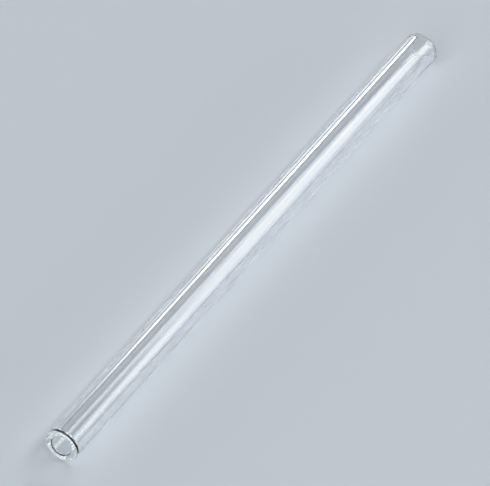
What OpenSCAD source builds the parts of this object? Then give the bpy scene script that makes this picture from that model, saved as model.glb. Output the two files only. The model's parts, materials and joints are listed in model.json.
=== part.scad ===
// Glass capillary tube: one straight piece of drawn glass, open at both ends, with its
// edges lightly fire-polished. The whole bore, end to end, holds the measured volume:
// 30 mm of a 0.92 mm bore is 20 microlitres.
// Millimetres. The tube lies on the XY plane along X, with its middle above the origin.

/* [Tube] */
// Length from end to end
tube_length = 30; // [20:0.5:75]
// Diameter of the bore
bore_diameter = 0.92; // [0.5:0.01:1.4]
// Thickness of the glass wall
wall_thickness = 0.29; // [0.15:0.01:0.5]

/* [Ends] */
// Radius that the flame leaves on the outer edge of an end
outer_edge_radius = 0.1; // [0.04:0.01:0.14]
// Radius that the flame leaves on the inner edge of an end, at the mouth of the bore
inner_edge_radius = 0.06; // [0.03:0.01:0.1]

/* [Hidden] */

// Smoothness of the preview
$fn = 96;

bore_radius = bore_diameter / 2;
outer_radius = bore_radius + wall_thickness;

// The two rounded edges share the wall, and a flat land is left between them.
outer_round = min(outer_edge_radius, wall_thickness * 0.5);
inner_round = min(inner_edge_radius, wall_thickness * 0.35);

// How far a corner cutter reaches past the glass that it cuts
cut_margin = 0.05;

// What rounding takes off a square corner at the origin whose glass lies towards +X and +Y.
module corner_cut(radius) {
    difference() {
        translate([-cut_margin, -cut_margin])
            square(radius + cut_margin);
        translate([radius, radius])
            circle(r = radius);
    }
}

// The two corner cuts of one end: X is the distance from the tube's axis, and the end is at Y = 0.
module end_cuts() {
    translate([bore_radius, 0])
        corner_cut(inner_round);
    translate([outer_radius, 0])
        mirror([1, 0])
            corner_cut(outer_round);
}

// Section through the wall on one side of the axis, from one end to the other.
module wall_section() {
    difference() {
        translate([bore_radius, 0])
            square([wall_thickness, tube_length]);
        end_cuts();
        translate([0, tube_length])
            mirror([0, 1])
                end_cuts();
    }
}

module tube() {
    color([0.86, 0.91, 0.93, 0.45])
        translate([-tube_length / 2, 0, outer_radius])
            rotate([0, 90, 0])
                rotate_extrude()
                    wall_section();
}

tube();
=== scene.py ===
"""Clear glass capillary tube, open at both ends, lying on a pale bench top in soft studio light.

The tube is one revolved glass wall. Its bore, its outside and its two flame-rounded edges take their
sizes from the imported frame, and its finish is clear drawn glass. Metres throughout, in the frame's axes:
+X along the bore and +Z up from the bench top.
"""

import json
import logging
from dataclasses import dataclass
from enum import Enum
from math import cos, pi, radians, sin, tau

import bpy
import numpy as np
from mathutils import Matrix, Vector


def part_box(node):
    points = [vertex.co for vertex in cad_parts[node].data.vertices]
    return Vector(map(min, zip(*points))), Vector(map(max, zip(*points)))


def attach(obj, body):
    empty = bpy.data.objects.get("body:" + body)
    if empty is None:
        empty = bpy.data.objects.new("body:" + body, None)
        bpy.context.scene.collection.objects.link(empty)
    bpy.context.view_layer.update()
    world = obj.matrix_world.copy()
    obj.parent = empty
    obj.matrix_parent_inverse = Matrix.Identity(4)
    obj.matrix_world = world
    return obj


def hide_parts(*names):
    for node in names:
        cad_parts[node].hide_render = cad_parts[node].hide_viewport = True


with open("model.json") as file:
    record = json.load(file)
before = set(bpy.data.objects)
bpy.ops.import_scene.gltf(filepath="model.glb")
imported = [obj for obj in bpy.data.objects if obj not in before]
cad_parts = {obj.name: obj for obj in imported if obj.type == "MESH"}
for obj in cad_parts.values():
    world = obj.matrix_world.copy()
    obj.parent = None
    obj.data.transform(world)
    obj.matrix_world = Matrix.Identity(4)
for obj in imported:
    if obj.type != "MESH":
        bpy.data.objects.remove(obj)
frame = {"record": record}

LOG = logging.getLogger("capillary_tube")
MILLIMETRE = 0.001
GUIDED_BOUNCES = 64  # light that the wall guides from end to end turns about this often

Colour = tuple[float, float, float]


class TubeEnd(Enum):
    """One of the two ends of the tube, by the sign of its place along X."""

    FAR = 1.0
    NEAR = -1.0


class WallFace(Enum):
    """The face of the glass wall that an edge is rounded on."""

    OUTSIDE = 1.0
    BORE = -1.0


def linear(red: int, green: int, blue: int) -> Colour:
    """Turn a screen colour into the linear light that a shader takes.

    Each channel c, from 0 to 1, goes through the sRGB curve: c / 12.92 up to 0.04045, and
    ((c + 0.055) / 1.055) ** 2.4 above it.

    Args:
        red: Red, from 0 to 255.
        green: Green, from 0 to 255.
        blue: Blue, from 0 to 255.

    Returns:
        The three linear channels.
    """
    screen = np.array([red, green, blue]) / 255.0
    light = np.where(screen <= 0.04045, screen / 12.92, ((screen + 0.055) / 1.055) ** 2.4)
    return tuple(float(channel) for channel in light)


class NodeGraph:
    """A node tree that is filled one node at a time."""

    def __init__(self, tree: bpy.types.NodeTree) -> None:
        """Empty the tree and keep it."""
        tree.nodes.clear()
        self.tree = tree

    def add(self, kind: str, settings: dict | None = None, **inputs: object) -> bpy.types.Node:
        """Add a node, set its properties and fill or link its inputs.

        Args:
            kind: The node's type, such as ShaderNodeMath.
            settings: The node's own properties, such as its operation.
            inputs: Values or output sockets, by the input's name with _ for a space, or by n0, n1 and so
                on for its place.

        Returns:
            The new node.
        """
        node = self.tree.nodes.new(kind)
        for name, value in (settings or {}).items():
            setattr(node, name, value)
        for name, value in inputs.items():
            place = name[1:]
            key = int(place) if place.isdigit() else name.replace("_", " ")
            socket = node.inputs[key]
            if isinstance(value, bpy.types.NodeSocket):
                self.tree.links.new(value, socket)
            else:
                socket.default_value = value
        return node


@dataclass(frozen=True)
class DrawnGlass:
    """Clear soda-lime glass as it leaves the drawing tower, with edges that a flame has rounded.

    polish is the roughness between the draw streaks and haze the roughness on the strongest of them. A
    streak is at its faintest or strongest where the noise is at streak_faintest or streak_strongest.
    Pitch, length and height are in metres.
    """

    name: str = "clear_glass"
    tint: Colour = (0.985, 0.995, 1.0)
    ior: float = 1.517
    polish: float = 0.004
    haze: float = 0.03
    streak_pitch: float = 60e-6
    streak_length: float = 60e-3
    streak_height: float = 0.05e-6
    streak_faintest: float = 0.35
    streak_strongest: float = 0.75
    streak_octaves: float = 2.0
    body_tint: Colour = (0.78, 0.93, 0.9)
    body_density: float = 9.0

    def material(self) -> bpy.types.Material:
        """Build the glass: a clear wall with faint draw streaks along it and a slight tint in its depth.

        Returns:
            The finished material.
        """
        glass = bpy.data.materials.new(self.name)
        glass.use_nodes = True
        graph = NodeGraph(glass.node_tree)
        streaks = self.streaks(graph)
        roughness = graph.add(
            "ShaderNodeMapRange",
            n0=streaks,
            n1=self.streak_faintest,
            n2=self.streak_strongest,
            n3=self.polish,
            n4=self.haze,
        )
        bump = graph.add(
            "ShaderNodeBump", Strength=1.0, Distance=self.streak_height, Height=streaks
        )
        wall = graph.add(
            "ShaderNodeBsdfPrincipled",
            Base_Color=(*self.tint, 1.0),
            Roughness=roughness.outputs[0],
            IOR=self.ior,
            Transmission_Weight=1.0,
            Normal=bump.outputs[0],
        )
        depth = graph.add(
            "ShaderNodeVolumeAbsorption", Color=(*self.body_tint, 1.0), Density=self.body_density
        )
        graph.add("ShaderNodeOutputMaterial", Surface=wall.outputs[0], Volume=depth.outputs[0])
        return glass

    def streaks(self, graph: NodeGraph) -> bpy.types.NodeSocket:
        """Noise drawn out along X, as the pull of drawing leaves it.

        Args:
            graph: The glass's node graph.

        Returns:
            The socket that gives the streaks, from 0 to 1.
        """
        place = graph.add("ShaderNodeTexCoord")
        drawn = graph.add(
            "ShaderNodeMapping",
            Vector=place.outputs["Object"],
            Scale=(1 / self.streak_length, 1 / self.streak_pitch, 1 / self.streak_pitch),
        )
        noise = graph.add(
            "ShaderNodeTexNoise", Vector=drawn.outputs[0], Scale=1.0, Detail=self.streak_octaves
        )
        return noise.outputs[0]


@dataclass(frozen=True)
class BenchTop:
    """Smooth, matt, pale blue-grey sheet that the tube lies on."""

    name: str = "pale_bench_top"
    colour: Colour = linear(204, 211, 219)
    roughness: float = 0.6
    gloss: float = 0.1

    def material(self) -> bpy.types.Material:
        """Build the matt sheet.

        Returns:
            The finished material.
        """
        sheet = bpy.data.materials.new(self.name)
        sheet.use_nodes = True
        graph = NodeGraph(sheet.node_tree)
        surface = graph.add(
            "ShaderNodeBsdfPrincipled",
            Base_Color=(*self.colour, 1.0),
            Roughness=self.roughness,
            Specular_IOR_Level=self.gloss,
        )
        graph.add("ShaderNodeOutputMaterial", Surface=surface.outputs[0])
        return sheet


@dataclass
class CapillaryTube:
    """The one piece of glass: a straight wall round a through bore, with both ends' edges rounded.

    around is the number of sides round the axis, and arc_steps the number of steps over a rounded edge.
    Along the wall, ring_growth is the ratio of one step to the last, up to longest_ring.
    """

    length: float
    outer_radius: float
    bore_radius: float
    outer_edge: float
    inner_edge: float
    axis_height: float
    finish: DrawnGlass
    around: int = 192
    arc_steps: int = 12
    ring_growth: float = 1.45
    longest_ring: float = 0.8e-3

    @classmethod
    def from_frame(cls, finish: DrawnGlass) -> "CapillaryTube":
        """Read the tube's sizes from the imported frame.

        The wall's two faces are the mounts of the record. Each is shorter than the tube by the rounding of
        its two edges.

        Args:
            finish: The glass that the tube is made of.

        Returns:
            The tube, ready to build.
        """
        low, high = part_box("tube")
        mounts = {mount["name"]: mount for mount in frame["record"]["mounts"]}
        bore, outside = mounts["bore"]["dims"], mounts["outside"]["dims"]
        length = high.x - low.x
        return cls(
            length=length,
            outer_radius=outside["r_mm"] * MILLIMETRE,
            bore_radius=bore["r_mm"] * MILLIMETRE,
            outer_edge=(length - outside["length_mm"] * MILLIMETRE) / 2,
            inner_edge=(length - bore["length_mm"] * MILLIMETRE) / 2,
            axis_height=mounts["bore"]["pos_m"][2],
            finish=finish,
        )

    def rings(self, reach: float, first: float) -> np.ndarray:
        """Places along a straight face, close together next to the rounded edges and wider in the middle.

        The steps grow by ring_growth from each end, from the first one up to longest_ring, and are then
        scaled to fill the face.

        Args:
            reach: Half the length of the straight face.
            first: The step next to the edge.

        Returns:
            The places from -reach to reach, both included.
        """
        count = int(np.ceil(np.log(self.longest_ring / first) / np.log(self.ring_growth)))
        graded = first * self.ring_growth ** np.arange(count)
        left = reach - graded.sum()
        even = np.full(int(np.ceil(left / self.longest_ring)), 1.0)
        even *= left / even.size
        half = np.concatenate([[0.0], np.cumsum(np.concatenate([even, graded[::-1]]))])
        half *= reach / half[-1]
        return np.concatenate([-half[:0:-1], half])

    def edge(self, end: TubeEnd, face: WallFace) -> np.ndarray:
        """The quarter circle of one rounded edge, from the wall's face to the end's flat land.

        With t from 0 to 90 degrees, x = end * (half + radius * (sin t - 1)) and
        r = face radius + face * radius * (cos t - 1).

        Args:
            end: The end of the tube.
            face: The face of the wall that the edge belongs to.

        Returns:
            Points (x, r), one row each.
        """
        outside = face is WallFace.OUTSIDE
        rounding = self.outer_edge if outside else self.inner_edge
        start = self.outer_radius if outside else self.bore_radius
        turn = np.linspace(0.0, pi / 2, self.arc_steps + 1)
        along = end.value * (self.length / 2 + rounding * (np.sin(turn) - 1))
        away = start + face.value * rounding * (np.cos(turn) - 1)
        return np.column_stack([along, away])

    def section(self) -> np.ndarray:
        """The closed outline of the wall on one side of the axis.

        It runs along the outside to the far end, round both edges there, back through the bore, and round
        both edges of the near end.

        Returns:
            Points (x, r), one row each, with no point twice.
        """
        step = self.outer_edge * (pi / 2) / self.arc_steps
        outside = self.rings(self.length / 2 - self.outer_edge, step)
        bore = self.rings(self.length / 2 - self.inner_edge, step)
        parts = [
            np.column_stack([outside, np.full(outside.size, self.outer_radius)])[1:-1],
            self.edge(TubeEnd.FAR, WallFace.OUTSIDE),
            self.edge(TubeEnd.FAR, WallFace.BORE)[::-1],
            np.column_stack([bore[::-1], np.full(bore.size, self.bore_radius)])[1:-1],
            self.edge(TubeEnd.NEAR, WallFace.BORE),
            self.edge(TubeEnd.NEAR, WallFace.OUTSIDE)[::-1],
        ]
        return np.concatenate(parts)

    def mesh(self) -> bpy.types.Mesh:
        """Turn the wall's section round the bore's axis.

        A point (x, r) of the section at the angle a goes to (x, r sin a, axis_height + r cos a). Both the
        section and the turn are closed, so the wall has no seam and no pole.

        Returns:
            The mesh of the wall, smooth all over.
        """
        section = self.section()
        angle = np.linspace(0.0, tau, self.around, endpoint=False)
        points = np.empty((section.shape[0], self.around, 3))
        points[..., 0] = section[:, :1]
        points[..., 1] = section[:, 1:] * np.sin(angle)
        points[..., 2] = section[:, 1:] * np.cos(angle) + self.axis_height
        index = np.arange(points.shape[0] * self.around).reshape(points.shape[:2])
        ahead = np.roll(index, -1, axis=0)
        quads = np.stack(
            [index, ahead, np.roll(ahead, -1, axis=1), np.roll(index, -1, axis=1)], axis=-1
        )
        wall = bpy.data.meshes.new("glass_wall")
        wall.from_pydata(points.reshape(-1, 3).tolist(), [], quads.reshape(-1, 4).tolist())
        wall.polygons.foreach_set("use_smooth", np.ones(len(wall.polygons), dtype=bool))
        wall.update()
        return wall

    def build(self) -> bpy.types.Object:
        """Make the glass wall, dress it and set it on the frame in place of the CAD solid.

        Returns:
            The finished piece.
        """
        piece = bpy.data.objects.new("glass_wall", self.mesh())
        bpy.context.scene.collection.objects.link(piece)
        piece.data.materials.append(self.finish.material())
        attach(piece, "root")
        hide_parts("tube")
        return piece


@dataclass
class Bench:
    """The level bench top under the tube."""

    half_side: float = 3.0
    finish: BenchTop = BenchTop()

    def build(self) -> bpy.types.Object:
        """Lay the bench top at the height that the tube rests on.

        Returns:
            The bench top.
        """
        corners = np.array([[-1, -1, 0], [1, -1, 0], [1, 1, 0], [-1, 1, 0]]) * self.half_side
        sheet = bpy.data.meshes.new("bench_top")
        sheet.from_pydata(corners.tolist(), [], [(0, 1, 2, 3)])
        top = bpy.data.objects.new("bench_top", sheet)
        bpy.context.scene.collection.objects.link(top)
        sheet.materials.append(self.finish.material())
        return top


@dataclass(frozen=True)
class Feather:
    """A dim edge of a soft lamp, over which its light goes from none at one lean to full at another.

    Both leans are in degrees, as seen from the tube's middle. They are measured from an axis n that lies
    level, skew degrees off the bore's axis towards the viewer's side. With d the unit vector from the
    middle to a place on the lamp, the share of the light there is
    (d . n - cos dark) / (cos full - cos dark), held between 0 and 1.

    The tube mirrors a lean of about 47 degrees to the viewer, a little more at its near end and a little
    less at its far end, so such an edge sets where along the tube a bright line comes up or stops.
    """

    dark: float
    full: float
    skew: float = 0.0

    def level(self, graph: NodeGraph, towards: bpy.types.NodeSocket) -> bpy.types.NodeSocket:
        """Give the share of the light that this edge lets through.

        Args:
            graph: The lamp's node graph.
            towards: The unit vector from the tube's middle to the place on the lamp.

        Returns:
            The socket that gives the share, from 0 to 1.
        """
        skew = radians(self.skew)
        lean = graph.add(
            "ShaderNodeVectorMath",
            {"operation": "DOT_PRODUCT"},
            n0=towards,
            n1=(cos(skew), -sin(skew), 0.0),
        )
        share = graph.add(
            "ShaderNodeMapRange",
            n0=lean.outputs["Value"],
            n1=cos(radians(self.dark)),
            n2=cos(radians(self.full)),
        )
        return share.outputs[0]


@dataclass(frozen=True)
class SoftBox:
    """A soft lamp placed round the tube, facing its middle.

    turn is the angle round the bore's axis from straight up, in degrees, towards the viewer's side (-Y).
    lean is the angle from the axis itself (+X). across and along are the lamp's sides in metres, round the
    axis and along it. radiance is its brightness, as a multiple of a white wall's at a strength of 1.
    distance is how far it hangs from the tube's middle. feathers are its dim edges.
    """

    name: str
    turn: float
    lean: float
    across: float
    along: float
    radiance: float
    distance: float = 1.2
    feathers: tuple[Feather, ...] = ()

    def build(self, target: Vector) -> None:
        """Hang the lamp round the target and turn it to face it.

        Args:
            target: The point that the lamp faces.
        """
        lamp = bpy.data.lights.new(self.name, "AREA")
        lamp.shape = "RECTANGLE"
        lamp.size = self.along
        lamp.size_y = self.across
        lamp.energy = self.radiance * pi * self.along * self.across
        if self.feathers:
            self.dim(lamp, target)
        turn, lean = radians(self.turn), radians(self.lean)
        round_way = Vector((0.0, cos(turn), sin(turn)))
        towards = Vector((cos(lean), -sin(lean) * sin(turn), sin(lean) * cos(turn)))
        axes = Matrix((round_way.cross(towards), round_way, towards)).transposed()
        box = bpy.data.objects.new(self.name, lamp)
        bpy.context.scene.collection.objects.link(box)
        box.matrix_world = Matrix.Translation(target + towards * self.distance) @ axes.to_4x4()
        box.visible_camera = False

    def dim(self, lamp: bpy.types.AreaLight, target: Vector) -> None:
        """Dim the lamp's edges: the light of each place is the product of the edges' shares there.

        Args:
            lamp: The lamp.
            target: The point that the lamp faces.
        """
        lamp.use_nodes = True
        graph = NodeGraph(lamp.node_tree)
        place = graph.add("ShaderNodeNewGeometry").outputs["Position"]
        away = graph.add("ShaderNodeVectorMath", {"operation": "SUBTRACT"}, n0=place, n1=target)
        towards = graph.add("ShaderNodeVectorMath", {"operation": "NORMALIZE"}, n0=away.outputs[0])
        level, *others = [feather.level(graph, towards.outputs[0]) for feather in self.feathers]
        for share in others:
            product = graph.add("ShaderNodeMath", {"operation": "MULTIPLY"}, n0=level, n1=share)
            level = product.outputs[0]
        glow = graph.add("ShaderNodeEmission", Strength=level)
        graph.add("ShaderNodeOutputLight", Surface=glow.outputs[0])


@dataclass
class Studio:
    """Soft boxes in a room with pale walls and a dim ceiling.

    walls and ceiling are strengths of wall_tone. wall_top and ceiling_edge are each the sine of an angle
    above the bench.
    """

    wall_tone: Colour = BenchTop().colour
    walls: float = 1.0
    ceiling: float = 0.06
    wall_top: float = 0.05
    ceiling_edge: float = 0.33
    boxes: tuple[SoftBox, ...] = (
        # Long panels beside and above the tube
        SoftBox("key_panel", turn=33.0, lean=90.0, across=0.28, along=2.0, radiance=4.6),
        SoftBox("top_panel", turn=-28.0, lean=90.0, across=0.3, along=2.0, radiance=0.4),
        SoftBox("left_wall", turn=-74.0, lean=90.0, across=0.3, along=2.0, radiance=1.3),
        SoftBox("right_wall", turn=80.0, lean=90.0, across=0.3, along=2.0, radiance=3.0),
        # Panels past its two ends
        SoftBox("far_panel", turn=0.0, lean=30.0, across=0.7, along=0.4, radiance=4.8),
        SoftBox("near_panel", turn=10.0, lean=145.0, across=0.7, along=0.6, radiance=3.8),
        # The broad bright band: it comes up from the near end, stops short of the far tip, and narrows
        # towards the far end
        SoftBox(
            "end_panel",
            turn=54.0,
            lean=45.2,
            across=0.94,
            along=0.17,
            radiance=4.5,
            feathers=(
                Feather(dark=46.5, full=44.9, skew=4.0),
                Feather(dark=45.9, full=46.2, skew=-1.0),
                Feather(dark=32.1, full=33.5, skew=14.0),
            ),
        ),
        # The sharp bright line on the left: it comes up from the near end and stops at the far tip
        SoftBox(
            "end_line",
            turn=-82.0,
            lean=47.0,
            across=0.28,
            along=0.09,
            radiance=2.4,
            feathers=(Feather(dark=48.6, full=47.0), Feather(dark=45.4, full=45.6)),
        ),
    )

    def build(self, target: Vector) -> None:
        """Light the tube.

        Args:
            target: The middle of the tube.
        """
        self.room()
        for box in self.boxes:
            box.build(target)

    def room(self) -> None:
        """Put the walls and the ceiling round the bench.

        The walls show in their own tone from the bench up to wall_top, and fade to the ceiling at
        ceiling_edge.
        """
        world = bpy.data.worlds.new("room")
        bpy.context.scene.world = world
        world.use_nodes = True
        graph = NodeGraph(world.node_tree)
        place = graph.add("ShaderNodeTexCoord")
        height = graph.add("ShaderNodeSeparateXYZ", n0=place.outputs["Generated"])
        level = graph.add(
            "ShaderNodeMapRange",
            n0=height.outputs["Z"],
            n1=self.wall_top,
            n2=self.ceiling_edge,
            n3=self.walls,
            n4=self.ceiling,
        )
        light = graph.add(
            "ShaderNodeBackground", Color=(*self.wall_tone, 1.0), Strength=level.outputs[0]
        )
        graph.add("ShaderNodeOutputWorld", Surface=light.outputs[0])


@dataclass
class TableCamera:
    """The camera that looks down along the tube from its near end.

    Angles are in degrees, distance is in metres and lens in millimetres. What lies nearer than clip_near
    distances, or further than clip_far of them, isn't drawn.
    """

    azimuth: float = -61.3
    elevation: float = 39.1
    roll: float = 1.2
    distance: float = 0.557
    lens: float = 1000.0
    clip_near: float = 0.1
    clip_far: float = 20.0

    def build(self, target: Vector) -> None:
        """Set the camera up and make it the scene's own.

        Args:
            target: The point at the middle of the picture.
        """
        around, above = radians(self.azimuth), radians(self.elevation)
        back = Vector((sin(around) * cos(above), -cos(around) * cos(above), sin(above)))
        right = Vector((0.0, 0.0, 1.0)).cross(back).normalized()
        up = back.cross(right)
        roll = Matrix.Rotation(radians(self.roll), 3, "Z")
        turned = Matrix((right, up, back)).transposed() @ roll
        lens = bpy.data.cameras.new("table_camera")
        lens.lens = self.lens
        lens.clip_start = self.distance * self.clip_near
        lens.clip_end = self.distance * self.clip_far
        camera = bpy.data.objects.new("table_camera", lens)
        bpy.context.scene.collection.objects.link(camera)
        camera.matrix_world = Matrix.Translation(target + back * self.distance) @ turned.to_4x4()
        bpy.context.scene.camera = camera


def corners(box: tuple[Vector, Vector]) -> list[list[float]]:
    """Give a box's two corners as plain numbers."""
    return [[float(value) for value in corner] for corner in box]


def main() -> None:
    """Build the tube, its bench and its light."""
    logging.basicConfig(level=logging.INFO, format="%(name)s: %(message)s")
    scene = bpy.context.scene
    scene.view_settings.view_transform = "Standard"
    scene.cycles.max_bounces = GUIDED_BOUNCES
    scene.cycles.glossy_bounces = GUIDED_BOUNCES
    scene.cycles.transmission_bounces = GUIDED_BOUNCES
    scene.cycles.blur_glossy = 0.0
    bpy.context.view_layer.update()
    tube = CapillaryTube.from_frame(DrawnGlass())
    middle = Vector((0.0, 0.0, tube.axis_height))
    TableCamera().build(middle)
    wall = tube.build()
    faces = len(wall.data.polygons)
    LOG.info("%s: %d faces, %.1f mm long", wall.name, faces, tube.length / MILLIMETRE)
    bench = Bench()
    LOG.info("%s: %.1f m square", bench.build().name, 2 * bench.half_side)
    Studio().build(middle)


if __name__ == "__main__":
    main()
